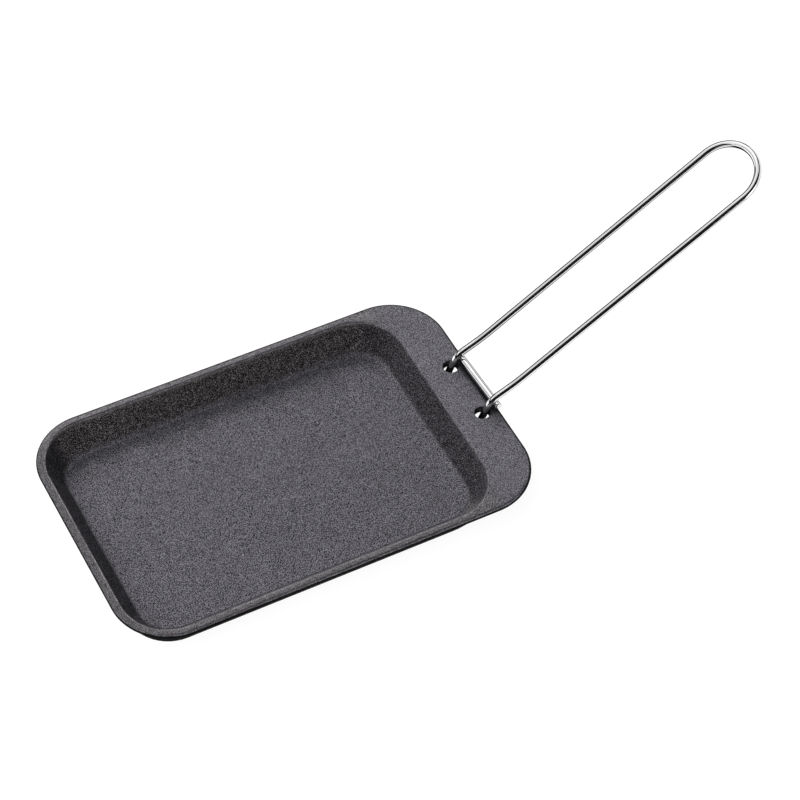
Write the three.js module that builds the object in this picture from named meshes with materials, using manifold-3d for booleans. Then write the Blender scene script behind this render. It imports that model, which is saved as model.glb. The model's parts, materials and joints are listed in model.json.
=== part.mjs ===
// Griddle pan: a sand-cast iron tray with a flange at one end, and a stainless wire handle
// whose two hooked ends pass down through the flange and catch under it.
// Millimetres, +Z up. The origin is the middle of the pan's flat underside, below the middle
// of the basin, and +X points along the handle's side of the pan.

import * as THREE from 'three';
import { mergeVertices } from 'three/addons/utils/BufferGeometryUtils.js';
import Module from 'manifold-3d';

// Pan: basin and rim
const BASIN_LENGTH = 173.1;      // opening at the rim, inside corner to inside corner
const BASIN_WIDTH = 120.1;
const BASIN_DEPTH = 12.2;
const FLOOR_THICKNESS = 4.4;
const RIM_WIDTH = 3.95;
const CORNER_RADIUS = 26.2;      // the pan's outer corners, seen from above
const INNER_WALL_LEAN = 33.7;    // degrees from upright
const OUTER_WALL_LEAN = 29.6;
const RIM_CROWN_RADIUS = 4;      // the rim's flat top falls away gently towards its outer edge
const RIM_CROWN_TURN = 16;       // degrees
const RIM_NOSE_RADIUS = 0.6;     // outer edge of the rim and of the flange
const RIM_INNER_RADIUS = 1.5;
const FLOOR_FILLET = 3;
const BASE_FILLET = 5.2;

// Pan: flange and its two holes
const FLANGE_WIDTH = 21.1;       // from the basin's edge to the flange's outer edge
const FLANGE_ROOT_THICKNESS = 4.4;
const FLANGE_EDGE_THICKNESS = 3.8;
const FLANGE_ROOT_FILLET = 3;
const HOLE_SETBACK = 7.6;        // hole centres, from the flange's outer edge
const HOLE_PAIR_OFFSET = 1.55;   // the pair sits a little off the pan's centre line
const HOLE_PLAY = 3.8;           // hole diameter less wire diameter

// Handle
const WIRE_DIAMETER = 3.2;
const HOLE_SPACING = 29.7;       // centre to centre, for the holes and the legs' roots
const LOOP_SPACING = 30.6;       // the legs spread a little towards the loop
const LEG_LENGTH = 129.5;        // from the gentle set in the leg to the loop's centre
const LEG_SLOPE = 30;            // degrees above the rim
const ROOT_SLOPE = 22;           // the first stretch of the leg, over the crossbar, is flatter
const ROOT_LENGTH = 13.9;
const NECK_LEAN = 21;            // the stretch in the hole leans in towards the pan as it goes down
const HOOK_LENGTH = 5.4;         // from the heel's corner to the wire's end
const SET_RADIUS = 60;
const BEND_RADIUS = 4.5;
const HEEL_RADIUS = 3;
const HANDLE_SKEW = 2.25;        // degrees about Z: the play lets the handle lie a little askew
const BAR_LIFT = 1.8;            // air between the crossbar and the flange
const BAR_ALONG = 1.6;           // crossbar, from the bend's corner along the leg
const BAR_OVERHANG = 3;          // crossbar's end past the leg's centre line
const SEAT_GAP = 0.3;            // hook to the flange's underside
const WELD_GAP = 0.2;            // crossbar to the legs

// Fineness of the round forms
const CORNER_STEPS = 10;
const EDGE_STEP = 15;            // degrees, along the casting's rounded edges
const WIRE_STEP = 9;             // degrees, along the wire's bends
const WIRE_SIDES = 12;
const HOLE_SIDES = 32;
const SAME_POINT = 0.001;

const wasm = await Module();
wasm.setup();

// Sizes that follow from the driving dimensions
const RIM_HEIGHT = FLOOR_THICKNESS + BASIN_DEPTH;
const HALF_WIDTH = BASIN_WIDTH / 2 + RIM_WIDTH;
const BODY_END = BASIN_LENGTH / 2 + RIM_WIDTH;
const FLANGE_END = BASIN_LENGTH / 2 + FLANGE_WIDTH;
const HOLE_DIAMETER = WIRE_DIAMETER + HOLE_PLAY;
const PIVOT = new THREE.Vector3(
  FLANGE_END - HOLE_SETBACK, HOLE_PAIR_OFFSET, RIM_HEIGHT - FLANGE_ROOT_THICKNESS / 2);

const sin = (degrees) => Math.sin(THREE.MathUtils.degToRad(degrees));
const cos = (degrees) => Math.cos(THREE.MathUtils.degToRad(degrees));
const tan = (degrees) => Math.tan(THREE.MathUtils.degToRad(degrees));

// Angles from one value to another, both ends included, in even steps of at most the one given.
function arcAngles(from, to, step) {
  const count = Math.max(1, Math.ceil(Math.abs(to - from) / step));
  return Array.from({ length: count + 1 }, (_, k) => from + ((to - from) * k) / count);
}

// One closed body from a stack of rings with equal point counts, capped at both ends.
function skinRings(rings) {
  const count = rings[0].length;
  const positions = rings.flat().flatMap((p) => [p.x, p.y, p.z]);
  const index = [];
  for (let r = 0; r < rings.length - 1; r += 1) {
    for (let k = 0; k < count; k += 1) {
      const a = r * count + k;
      const b = r * count + ((k + 1) % count);
      index.push(a, b, b + count, a, b + count, a + count);
    }
  }
  for (const [ring, offset, turn] of [[rings[0], 0, 1], [rings.at(-1), (rings.length - 1) * count, 0]]) {
    const middle = ring.reduce((sum, p) => sum.add(p), new THREE.Vector3()).divideScalar(count);
    const centre = positions.length / 3;
    positions.push(middle.x, middle.y, middle.z);
    for (let k = 0; k < count; k += 1) {
      const next = (k + 1) % count;
      index.push(centre, offset + (turn ? next : k), offset + (turn ? k : next));
    }
  }
  const geometry = new THREE.BufferGeometry();
  geometry.setAttribute('position', new THREE.Float32BufferAttribute(positions, 3));
  geometry.setIndex(index);
  return geometry;
}

function toSolid(geometry) {
  const bare = geometry.clone();
  bare.deleteAttribute('normal');
  bare.deleteAttribute('uv');
  const merged = mergeVertices(bare, SAME_POINT / 10);
  return new wasm.Manifold(new wasm.Mesh({
    numProp: 3,
    vertProperties: new Float32Array(merged.attributes.position.array),
    triVerts: new Uint32Array(merged.index.array),
  }));
}

function toGeometry(solid) {
  const mesh = solid.getMesh();
  const geometry = new THREE.BufferGeometry();
  geometry.setAttribute('position', new THREE.Float32BufferAttribute(mesh.vertProperties, 3));
  geometry.setIndex(Array.from(mesh.triVerts));
  geometry.computeVertexNormals();
  return geometry;
}

// A level rounded rectangle: the pan's outline drawn in by an inset, ending at x = right.
function panRing(inset, right, z) {
  const radius = Math.max(CORNER_RADIUS - inset, RIM_NOSE_RADIUS);
  const left = inset - BODY_END;
  const side = HALF_WIDTH - inset;
  const corners = [[right, side, 0], [left, side, 90], [left, -side, 180], [right, -side, 270]];
  return corners.flatMap(([x, y, start]) => Array.from({ length: CORNER_STEPS + 1 }, (_, k) => {
    const angle = start + (90 * k) / CORNER_STEPS;
    return new THREE.Vector3(
      x - Math.sign(x) * radius + radius * cos(angle),
      y - Math.sign(y) * radius + radius * sin(angle), z);
  }));
}

// The casting: rings climb the outer skin from the base, go round the rim's nose and down the basin.
function panGeometry() {
  const noseTop = 90 - RIM_CROWN_TURN;
  const crownDrop = RIM_CROWN_RADIUS * (1 - cos(RIM_CROWN_TURN));
  const noseCentre = RIM_HEIGHT - crownDrop - RIM_NOSE_RADIUS * sin(noseTop);
  const noseInset = (angle) => RIM_NOSE_RADIUS * (1 - cos(angle));
  const noseLevel = (angle) => noseCentre + RIM_NOSE_RADIUS * sin(angle);
  const wallTop = noseLevel(-OUTER_WALL_LEAN);
  const outerInset = (z) => noseInset(OUTER_WALL_LEAN) + (wallTop - z) * tan(OUTER_WALL_LEAN);
  const bodyRing = (inset, z) => panRing(inset, BODY_END - inset, z);
  const rimRing = (inset, z) => panRing(inset, FLANGE_END - inset, z);
  const rings = [];

  const baseTangent = BASE_FILLET * (1 - sin(OUTER_WALL_LEAN));
  const baseCentre = outerInset(baseTangent) + BASE_FILLET * cos(OUTER_WALL_LEAN);
  for (const angle of arcAngles(90, OUTER_WALL_LEAN, EDGE_STEP)) {
    rings.push(bodyRing(baseCentre - BASE_FILLET * cos(angle), BASE_FILLET * (1 - sin(angle))));
  }

  // Under the flange the wall turns out in a hollow fillet; the other three sides run straight on.
  const underside = RIM_HEIGHT - FLANGE_ROOT_THICKNESS;
  const filletLevel = underside - FLANGE_ROOT_FILLET;
  const tangentLevel = filletLevel + FLANGE_ROOT_FILLET * sin(OUTER_WALL_LEAN);
  const filletX = BODY_END - outerInset(tangentLevel) + FLANGE_ROOT_FILLET * cos(OUTER_WALL_LEAN);
  for (const angle of arcAngles(180 - OUTER_WALL_LEAN, 90, EDGE_STEP)) {
    const z = filletLevel + FLANGE_ROOT_FILLET * sin(angle);
    rings.push(panRing(outerInset(z), filletX + FLANGE_ROOT_FILLET * cos(angle), z));
  }

  // The flange's edge and the rim share one nose, then the crown up to the flat top.
  const edgeLevel = RIM_HEIGHT - FLANGE_EDGE_THICKNESS;
  rings.push(rimRing(outerInset(edgeLevel), edgeLevel));
  for (const angle of arcAngles(-OUTER_WALL_LEAN, noseTop, EDGE_STEP)) {
    rings.push(rimRing(noseInset(angle), noseLevel(angle)));
  }
  for (const angle of arcAngles(RIM_CROWN_TURN, 0, EDGE_STEP).slice(1)) {
    rings.push(rimRing(noseInset(noseTop) + RIM_CROWN_RADIUS * (sin(RIM_CROWN_TURN) - sin(angle)),
      RIM_HEIGHT - RIM_CROWN_RADIUS * (1 - cos(angle))));
  }

  // Inside: the rim's inner rounding, the leaning wall and the fillet to the floor.
  const turn = 90 - INNER_WALL_LEAN;
  const rimCentre = RIM_WIDTH - RIM_INNER_RADIUS * tan(turn / 2);
  for (const angle of arcAngles(0, turn, EDGE_STEP)) {
    rings.push(bodyRing(rimCentre + RIM_INNER_RADIUS * sin(angle),
      RIM_HEIGHT - RIM_INNER_RADIUS * (1 - cos(angle))));
  }
  const floorCentre = RIM_WIDTH + BASIN_DEPTH * tan(INNER_WALL_LEAN) + FLOOR_FILLET * tan(turn / 2);
  for (const angle of arcAngles(turn, 0, EDGE_STEP)) {
    rings.push(bodyRing(floorCentre - FLOOR_FILLET * sin(angle),
      FLOOR_THICKNESS + FLOOR_FILLET * (1 - cos(angle))));
  }

  const drill = new THREE.CylinderGeometry(
    HOLE_DIAMETER / 2, HOLE_DIAMETER / 2, 3 * FLANGE_ROOT_THICKNESS, HOLE_SIDES).rotateX(Math.PI / 2);
  let casting = toSolid(skinRings(rings));
  for (const side of [-1, 1]) {
    const hole = drill.clone().translate(PIVOT.x, PIVOT.y + (side * HOLE_SPACING) / 2, PIVOT.z);
    casting = casting.subtract(toSolid(hole));
  }
  return toGeometry(casting);
}

// A path through corner points, each inner corner rounded to its radius.
function roundedPath(corners, radii) {
  const path = [corners[0]];
  for (let k = 1; k < corners.length - 1; k += 1) {
    const into = corners[k].clone().sub(corners[k - 1]).normalize();
    const out = corners[k + 1].clone().sub(corners[k]).normalize();
    const turn = THREE.MathUtils.radToDeg(into.angleTo(out));
    const start = corners[k].clone().addScaledVector(into, -radii[k - 1] * tan(turn / 2));
    const inward = out.clone().addScaledVector(into, -out.dot(into)).normalize();
    for (const angle of arcAngles(0, turn, WIRE_STEP)) {
      const point = start.clone().addScaledVector(into, radii[k - 1] * sin(angle))
        .addScaledVector(inward, radii[k - 1] * (1 - cos(angle)));
      if (point.distanceTo(path.at(-1)) > SAME_POINT) path.push(point);
    }
  }
  path.push(corners.at(-1));
  return path;
}

// Round wire along a path: a ring at each point, square to the path, with no twist.
function wireGeometry(path) {
  const step = (k) => path[k + 1].clone().sub(path[k]).normalize();
  let across = new THREE.Vector3(0, 1, 0);
  const rings = path.map((point, k) => {
    const along = new THREE.Vector3();
    if (k > 0) along.add(step(k - 1));
    if (k < path.length - 1) along.add(step(k));
    along.normalize();
    across = across.clone().addScaledVector(along, -across.dot(along)).normalize();
    const up = along.clone().cross(across);
    return Array.from({ length: WIRE_SIDES }, (_, n) => {
      const angle = (360 * n) / WIRE_SIDES;
      return point.clone().addScaledVector(across, (WIRE_DIAMETER / 2) * cos(angle))
        .addScaledVector(up, (WIRE_DIAMETER / 2) * sin(angle));
    });
  });
  const geometry = skinRings(rings);
  geometry.computeVertexNormals();
  return geometry;
}

// Handle, in its own frame: X along the handle, Z up, the origin where the wires cross the holes.
const flangeTop = FLANGE_ROOT_THICKNESS / 2;
const barLevel = flangeTop + BAR_LIFT + WIRE_DIAMETER / 2;
const barDrop = WIRE_DIAMETER + WELD_GAP;
const bendLevel = barLevel + barDrop * cos(ROOT_SLOPE) - BAR_ALONG * sin(ROOT_SLOPE);
const bendX = bendLevel * tan(NECK_LEAN);
const barX = bendX + BAR_ALONG * cos(ROOT_SLOPE) + barDrop * sin(ROOT_SLOPE);
const setX = bendX + ROOT_LENGTH * cos(ROOT_SLOPE);
const setLevel = bendLevel + ROOT_LENGTH * sin(ROOT_SLOPE);
const tipReach = LEG_LENGTH + LOOP_SPACING / 2;
const tipX = setX + tipReach * cos(LEG_SLOPE);
const tipLevel = setLevel + tipReach * sin(LEG_SLOPE);
const hookLevel = -flangeTop - SEAT_GAP - WIRE_DIAMETER / 2;
const heelX = hookLevel * tan(NECK_LEAN);

function handleWireGeometry() {
  const root = [[heelX - HOOK_LENGTH, hookLevel], [heelX, hookLevel], [bendX, bendLevel], [setX, setLevel]];
  const leg = (side) => [
    ...root.map(([x, z]) => new THREE.Vector3(x, (side * HOLE_SPACING) / 2, z)),
    new THREE.Vector3(tipX, (side * LOOP_SPACING) / 2, tipLevel),
  ];
  // The two rounded tip corners meet in the middle, so that they make one loop.
  const spread = THREE.MathUtils.radToDeg(Math.atan2((LOOP_SPACING - HOLE_SPACING) / 2, tipReach));
  const loopRadius = LOOP_SPACING / 2 / tan((90 + spread) / 2);
  const legRadii = [HEEL_RADIUS, BEND_RADIUS, SET_RADIUS, loopRadius];
  const corners = [...leg(-1), ...leg(1).reverse()];
  return wireGeometry(roundedPath(corners, [...legRadii, ...legRadii.toReversed()]));
}

function crossbarGeometry() {
  const reach = HOLE_SPACING / 2 + BAR_OVERHANG;
  return new THREE.CylinderGeometry(WIRE_DIAMETER / 2, WIRE_DIAMETER / 2, 2 * reach, 2 * WIRE_SIDES)
    .translate(barX, 0, barLevel);
}

function piece(name, geometry, color, roughness, metalness) {
  const mesh = new THREE.Mesh(geometry, new THREE.MeshStandardMaterial({ color, roughness, metalness }));
  mesh.name = name;
  return mesh;
}

const CAST_IRON = [0x4b4b4f, 0.62, 0.35];
const STAINLESS = [0xd4d5d8, 0.12, 1];

const handle = new THREE.Group();
handle.position.copy(PIVOT);
handle.rotation.z = THREE.MathUtils.degToRad(HANDLE_SKEW);
handle.add(piece('handle_wire', handleWireGeometry(), ...STAINLESS));
handle.add(piece('handle_crossbar', crossbarGeometry(), ...STAINLESS));

const griddlePan = new THREE.Group();
griddlePan.add(piece('pan', panGeometry(), ...CAST_IRON));
griddlePan.add(handle);

export default griddlePan;
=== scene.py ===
"""Griddle pan: a cast-iron tray with a flange, and a bright wire handle hooked through the flange.

Metres, +Z up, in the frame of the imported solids. The casting and the wire are worked out as numpy
surfaces on the sizes below and on the boxes of the solids that they stand for.
"""
import json

import bpy
import numpy as np
from mathutils import Matrix, Vector


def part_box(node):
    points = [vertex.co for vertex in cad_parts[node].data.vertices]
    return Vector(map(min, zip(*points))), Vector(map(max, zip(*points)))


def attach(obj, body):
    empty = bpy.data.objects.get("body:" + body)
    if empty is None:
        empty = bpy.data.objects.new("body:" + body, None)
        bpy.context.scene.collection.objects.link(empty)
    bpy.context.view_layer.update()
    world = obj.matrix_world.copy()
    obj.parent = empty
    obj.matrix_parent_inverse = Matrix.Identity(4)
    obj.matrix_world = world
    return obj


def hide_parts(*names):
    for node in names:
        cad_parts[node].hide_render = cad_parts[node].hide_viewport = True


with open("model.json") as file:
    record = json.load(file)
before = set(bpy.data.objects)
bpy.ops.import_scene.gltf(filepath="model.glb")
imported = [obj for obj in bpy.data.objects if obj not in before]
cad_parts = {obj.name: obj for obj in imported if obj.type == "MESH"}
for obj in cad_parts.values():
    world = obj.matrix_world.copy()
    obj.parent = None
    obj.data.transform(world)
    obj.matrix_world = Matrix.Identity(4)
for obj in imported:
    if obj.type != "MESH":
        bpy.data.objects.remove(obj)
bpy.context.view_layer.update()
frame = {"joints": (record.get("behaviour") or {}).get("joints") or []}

pan_low, pan_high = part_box("pan")
bar_low, bar_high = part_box("handle_crossbar")
tilt_joint = next(joint for joint in frame["joints"] if joint["name"] == "handle_tilt")

# Casting: sizes taken from the solid
BODY_END = -pan_low.x
FLANGE_END = pan_high.x
HALF_WIDTH = pan_high.y
RIM_HEIGHT = pan_high.z

# Casting: basin and rim
BASIN_DEPTH = 0.0122
RIM_WIDTH = 0.00395
CORNER_RADIUS = 0.0262
INNER_WALL_LEAN = 33.7          # degrees from upright
OUTER_WALL_LEAN = 29.6
CROWN_RADIUS = 0.004
CROWN_TURN = 16.0               # degrees
NOSE_RADIUS = 0.0006
RIM_INNER_RADIUS = 0.0015
FLOOR_FILLET = 0.003
BASE_FILLET = 0.0052
FLOOR_LEVEL = RIM_HEIGHT - BASIN_DEPTH

# Casting: flange and its holes
FLANGE_ROOT_THICKNESS = 0.0044
FLANGE_EDGE_THICKNESS = 0.0038
FLANGE_ROOT_FILLET = 0.003
HOLE_SPACING = 0.0297
HOLE_RADIUS = 0.0035
HOLE_LIP = 0.0004
HOLE_LIP_TURN = 62.0            # degrees
HOLE_LIP_RINGS = 6
HOLE_SIDES = 64
DRILL_OVERSHOOT = 0.001

# Casting: rings along each stretch of the section, and steps around a ring
POLE_SCALE = 0.02               # the last ring round a pole, against the ring that starts the disc
ARC_RINGS = 9
BASE_RINGS = 13
SIDE_RINGS = 4
FLANGE_RINGS = 8
NOSE_RINGS = 11
TOP_RINGS = 14
WALL_RINGS = 14
FLOOR_FILLET_RINGS = 11
FLOOR_RINGS = 39
CORNER_STEPS = 22
SIDE_STEPS = 88
END_STEPS = 44
SHARP_ANGLE = 40.0              # degrees between faces, past which their edge is left sharp
SHORTEST_NORMAL = 1e-12

# Casting: the file's work on the near and left rims. A pair is where a share starts and is full
LEDGE_INSET = 0.0016            # the step's middle, from the outer edge
LEDGE_RUN = 0.0003              # half the step's width
LEDGE_DROP = 0.00022
LEDGE_UNEVENNESS = 0.5
LEFT_LEDGE = 0.35               # the left rim's step, against the near rim's
FETTLED_END = -0.030            # left of this x the near edge is filed round instead of stepped
FETTLED_BLEND = 0.012
FILED_DROP = 0.00035
FILED_DEPTHS = (0.004, 0.001)   # below the rim
FILED_REACH = (0.010, 0.004)    # in from the side
FILE_WANDER = 0.00025
FILE_WAVELENGTH = 0.03
FILE_SEED = 3

# Casting: the sand mould's unevenness
CAST_RIPPLE = 0.00006
CAST_WAVELENGTH = 0.022
CAST_SEED = 7
RIPPLE_INSETS = (0.0005, 0.004)
RIPPLE_LEVELS = (0.0, 0.003)
RIPPLE_WAVES = 14
RIPPLE_SPREAD = (0.7, 1.5)      # shortest and longest wave, against the wavelength asked for

# Casting's finish and painted light: sides and bands, as distances in from an edge where a share starts and
# is full
TOP_BAND = (0.0010, 0.0003)
RIM_BAND = (0.012, 0.004)
FLANGE_BAND = (0.012, 0.002)
END_WALL_BAND = (0.018, 0.012)
FOOT_BAND = (0.020, 0.015)
RIM_SPILL = 0.001
WALL_OVERLAP = 0.0001           # the wall's finish starts this far up the rim's inner rounding
FAR_WALL_OVERLAP = 0.0002       # and this much further on the far side
WALL_BLEND = 0.0004
WALL_FOOT = (0.0002, 0.0016)    # above the cooking floor
FLOOR_FINISH_HEIGHT = 0.002
FLANGE_GROUND = 0.4             # share of the ground finish that the flange has

# Casting's bright lines, as inset and width, and their strengths: wear on the rims' inner edges, and painted
# highlights
EDGE_WEAR_AND_HIGHLIGHT_LINE = (0.0037, 0.0003)
LEDGE_HIGHLIGHT_LINE = (0.0005, 0.0003)
LEDGE_HIGHLIGHT_START = (-0.03, -0.01)
FOOT_HIGHLIGHT_LINE = (0.0130, 0.0004)
NEAR_EDGE_WEAR_AND_HIGHLIGHT = 0.7            # against the left edge's
EDGE_WEAR_AND_HIGHLIGHT = 0.42
FOOT_HIGHLIGHT_STRENGTH = 0.16
LEDGE_HIGHLIGHT_STRENGTH = 0.12

# Casting's painted shade: dark lines at the rims and at the near wall's foot, and the strengths of it all
DARK_LINE = (0.0034, 0.0004)
DARK_STEP = (0.0013, 0.0003)
NEAR_FOOT_START = (0.0115, 0.0120)
NEAR_FOOT_END = (0.0122, 0.0128)
STEP_DARK = 0.8
NEAR_FOOT_DARK = 0.9
LEFT_RIM_DARK = 0.25
RIGHT_END_DARK = 0.70
LEFT_END_DARK = 0.87

# Casting's dark outer skin with its painted shade, and the painted shadow under the handle
SKIN_AND_SHADE_MARGIN = 0.0006            # width of the dark margin on the near and left tops, and half the width on the other edges
SKIN_AND_SHADE_FULL = 0.6                 # share of the margin where the dark skin and its shade are whole
MARGIN_DEPTH = 0.0014        # below the rim: where the margin ends and the side's dark skin and shade take over
SIDE_SKIN_AND_SHADE = 0.85
SIDE_SKIN_AND_SHADE_DEPTHS = (0.0006, 0.0014)
# The dark margin at the top's edge, skin and painted shade, is twice as wide away from the near and left
# edges
WIDE_MARGIN_FROM_NEAR = (0.001, 0.006)
WIDE_MARGIN_FROM_LEFT = (0.0, 0.03)
HOLE_PAINTED_SHADE = (-0.0001, 0.0002)   # past the hole's radius: painted shade on the holes' walls
# Painted shadow: where the flange is darkened under the handle's bar and legs
BAR_SHADOW_START = (0.0028, 0.0046)   # along the handle, from the pivot
BAR_SHADOW_END = (0.002, 0.004)   # across it, past the legs
LEG_SHADOW_START = (0.0005, 0.0028)
LEG_SHADOW_SIDE = (0.0014, 0.0036)
NECK_PAINTED_SHADE = (0.0015, 0.0050)    # above the rim, on the wire: where the painted shade starts to fade and is gone

# Wire handle
WIRE_RADIUS = (bar_high.z - bar_low.z) / 2
LOOP_SPACING = 0.0306
LEG_LENGTH = 0.1295
LEG_SLOPE = 30.0                # degrees above the rim
ROOT_SLOPE = 22.0
ROOT_LENGTH = 0.0139
NECK_LEAN = 21.0
HOOK_LENGTH = 0.0054
SET_RADIUS = 0.060
BEND_RADIUS = 0.0090            # easier than the solid's 4.5 mm, judged by the highlight on the bend
HEEL_RADIUS = 0.003
BAR_LIFT = 0.0018
BAR_ALONG = 0.0016
BAR_OVERHANG = 0.003
SEAT_GAP = 0.0003
WELD_GAP = 0.0002
END_ROUNDING = 0.0006
END_RINGS = 6
WIRE_SIDES = 40
BEND_STEP = 2.5                 # degrees
BAR_RINGS = 30
SHORTEST_STEP = 1e-7

# The handle's own frame: along it, across it and up, from the pivot between the holes
PIVOT = np.array(tilt_joint["pos_m"])
ACROSS = -np.array(tilt_joint["axis"])
UP = np.array([0.0, 0.0, 1.0])
ALONG = np.cross(ACROSS, UP)

# Cast iron's grain: features per metre, and the noise values that become pit and tip
GRAIN_TURN = (0.6, 0.4, 0.3)    # radians, so that no face lies along the noise's own lattice
GRAIN_RATE = 3300.0
GRAIN_DETAIL = 1.0
GRAIN_SPREAD = (0.485, 0.59)
WALL_GRAIN_RATE = 2900.0
WALL_GRAIN_SPREAD = (0.575, 0.60)
SPECK_RATE = 900.0
SPECK_DETAIL = 0.0
SPECK_SPREAD = (0.79, 0.85)
MOTTLE_RATE = 60.0
MOTTLE_DETAIL = 3.0
STREAK_RATES = (320.0, 2600.0, 1.0)     # along the rim, across it, and unused
STREAK_DETAIL = 2.0
STREAK_SPREAD = (0.38, 0.62)
GRAIN_HEIGHT = 0.00020
WALL_GRAIN_EXTRA = 1.5          # added to the height's factor of 1 on the basin's wall

# Cast iron's colours, and what each finish, painted shade and painted highlight does to the tone and the
# grain
IRON_PIT = (0.0055, 0.0055, 0.006, 1)
IRON_TIP = (0.258, 0.247, 0.282, 1)
IRON_SPECK = (0.45, 0.45, 0.47, 1)
FINISH_AND_SHADE_TINTS = (
    ("filed_rim", (1.0, 0.985, 0.92, 1)),
    ("basin_wall", (1.42, 1.36, 1.27, 1)),
    # painted shade: dark lines at the rims and the near wall's foot, the left rim and the end walls
    ("painted_shade", (0.175, 0.18, 0.23, 1)),
    # painted shadow on the flange under the handle's bar and legs
    ("painted_bar_shadow", (0.06, 0.06, 0.06, 1)),
    # dark outer skin, with painted shade on the outside, the holes' walls and the top's edges
    ("skin_and_painted_shade", (0.06, 0.06, 0.06, 1)),
)
IRON_SPECULAR = 0.25
PIT_ROUGHNESS = 0.70
TIP_POLISH = 0.30
SPECK_SHARE = 0.4
GROUND_CALM = 0.40              # share of the grain that grinding has taken off
GROUND_GRAIN = 0.5
FILED_GRAIN = 0.66
FILED_STREAK = 0.26
PLAIN_LIFT = 0.875
MOTTLE_LIFT = 0.25
GROUND_LIFT = 0.25
# how much wear and the painted highlights lighten the tone
WEAR_AND_HIGHLIGHT_LIFT = 2.4

# Stainless wire
POLISH_RATE = 220.0
POLISH_DETAIL = 3.0
WIRE_DULL = (0.80, 0.80, 0.81, 1)
WIRE_BRIGHT = (0.88, 0.88, 0.885, 1)
# painted shade on the wire's neck, in place of the shaded flange that it reflects
WIRE_PAINTED_SHADE = (0.12, 0.12, 0.12, 1)
WIRE_ROUGHNESS = 0.005
POLISH_UNEVENNESS = 0.03

# Camera: lens and sensor in millimetres, its place and its right, up and backward directions
CAMERA_LENS = 125.08
CAMERA_SENSOR = 36.0
CAMERA_PLACE = (-0.322534, -0.669788, 0.977543)
CAMERA_RIGHT = (0.885927, -0.462462, 0.035542)
CAMERA_UP = (0.338808, 0.697569, 0.631353)
CAMERA_BACK = (-0.316769, -0.547291, 0.774680)

# Stage: floor and surround
FLOOR_HALF = 6.0
FLOOR_BELOW = 0.0002
FLOOR_GLOW = 0.93               # floor's own white, as the camera and reflections see it
FLOOR_SHADE = 0.12              # share of the floor's white that the lamps give, so shadows show faintly
FLOOR_BOUNCE = 0.30             # floor's white for light that bounces off it
AMBIENT = 0.012
SHEET_LEVEL = -0.0001           # between the floor and the pan's base
CONTACT_INSET = (0.0076, 0.0091)
CONTACT_RADIUS = 0.0195
CONTACT_STEPS = 13
CONTACT_BLACK = (0.004, 0.004, 0.004, 1)
CARD_BLACK = (0.003, 0.003, 0.003, 1)

# Stage: soft lamps, as name, place, width and length, and watts
LAMP_TARGET = (0.02, 0.0, 0.01)
LAMPS = (
    ("back_softbox", (-0.15, 0.98, 0.665), (1.8, 0.40), 35.0),
    ("front_fill", (-0.65, -0.50, 0.95), (0.8, 0.8), 14.0),
)

# Stage: cards for the wire to reflect, as name, glow and corners. The flags are black cards at floor level
CARDS = (
    ("back_card", 0.8, [(-1.0, 0.45, 1.30), (-0.35, 0.45, 1.30), (-0.35, 1.25, 1.00), (-0.7, 1.25, 1.00)]),
    ("right_card", 1.25, [(-0.35, 0.45, 1.30), (0.9, 0.45, 1.30), (0.9, 1.25, 1.00), (-0.35, 1.25, 1.00)]),
    ("low_back_card", 0.8, [(-0.7, 1.25, 1.00), (0.9, 1.25, 1.00), (0.9, 1.30, 0.68), (-0.5, 1.30, 0.68)]),
    ("top_card", 0.75, [(-1.0, -0.17, 1.35), (0.9, -0.17, 1.35), (0.9, 0.45, 1.30), (-1.0, 0.45, 1.30)]),
    ("left_card", 1.2, [(-1.3, -0.25, 0.0), (-1.3, 0.75, 0.0), (-1.3, 0.75, 0.54), (-1.3, -0.25, 0.54)]),
    ("back_left_card", 1.2, [(-1.3, 0.75, 0.0), (-0.75, 1.3, 0.0), (-0.75, 1.3, 0.54), (-1.3, 0.75, 0.54)]),
    ("upper_left_card", 1.2, [(-1.3, 0.0, 0.89), (-0.75, 1.25, 0.89), (-0.7, 1.2, 1.05), (-1.0, 0.0, 1.30)]),
    ("front_card", 2.0, [(0.38, -1.3, 0.0), (1.15, -1.0, 0.0), (1.15, -1.0, 0.65), (0.38, -1.3, 0.65)]),
    ("side_card", 0.9, [(1.15, -1.0, 0.0), (1.15, 0.9, 0.0), (1.15, 0.9, 0.65), (1.15, -1.0, 0.65)]),
    ("front_flag", 0.0, [(-0.6, -6.0, 0.0), (0.75, -6.0, 0.0), (0.32, -0.225, 0.0), (-0.1, -0.07, 0.0)]),
    ("floor_flag", 0.0, [(0.10, -0.018, 0.0), (0.40, -0.055, 0.0), (0.75, 1.4, 0.0), (-0.15, 1.4, 0.0)]),
)
PAN_SHADE = [(-0.092, -0.066, SHEET_LEVEL), (0.100, -0.066, SHEET_LEVEL),
             (0.100, 0.066, SHEET_LEVEL), (-0.092, 0.066, SHEET_LEVEL)]


def sin(degrees):
    return np.sin(np.radians(degrees))


def cos(degrees):
    return np.cos(np.radians(degrees))


def tan(degrees):
    return np.tan(np.radians(degrees))


def smooth_step(start, end, value):
    """0 before start, 1 after end, and 3t^2 - 2t^3 between them."""
    t = np.clip((value - start) / (end - start), 0.0, 1.0)
    return t * t * (3.0 - 2.0 * t)


def towards(edge, band, value):
    """0 to 1 as the value climbs towards an edge, through a band of two distances short of it."""
    return smooth_step(edge - band[0], edge - band[1], value)


def bell(value, middle, width):
    """1 on the middle of a narrow line, dying out in about twice its width on either side."""
    return np.exp(-((value - middle) / width) ** 2)


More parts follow.
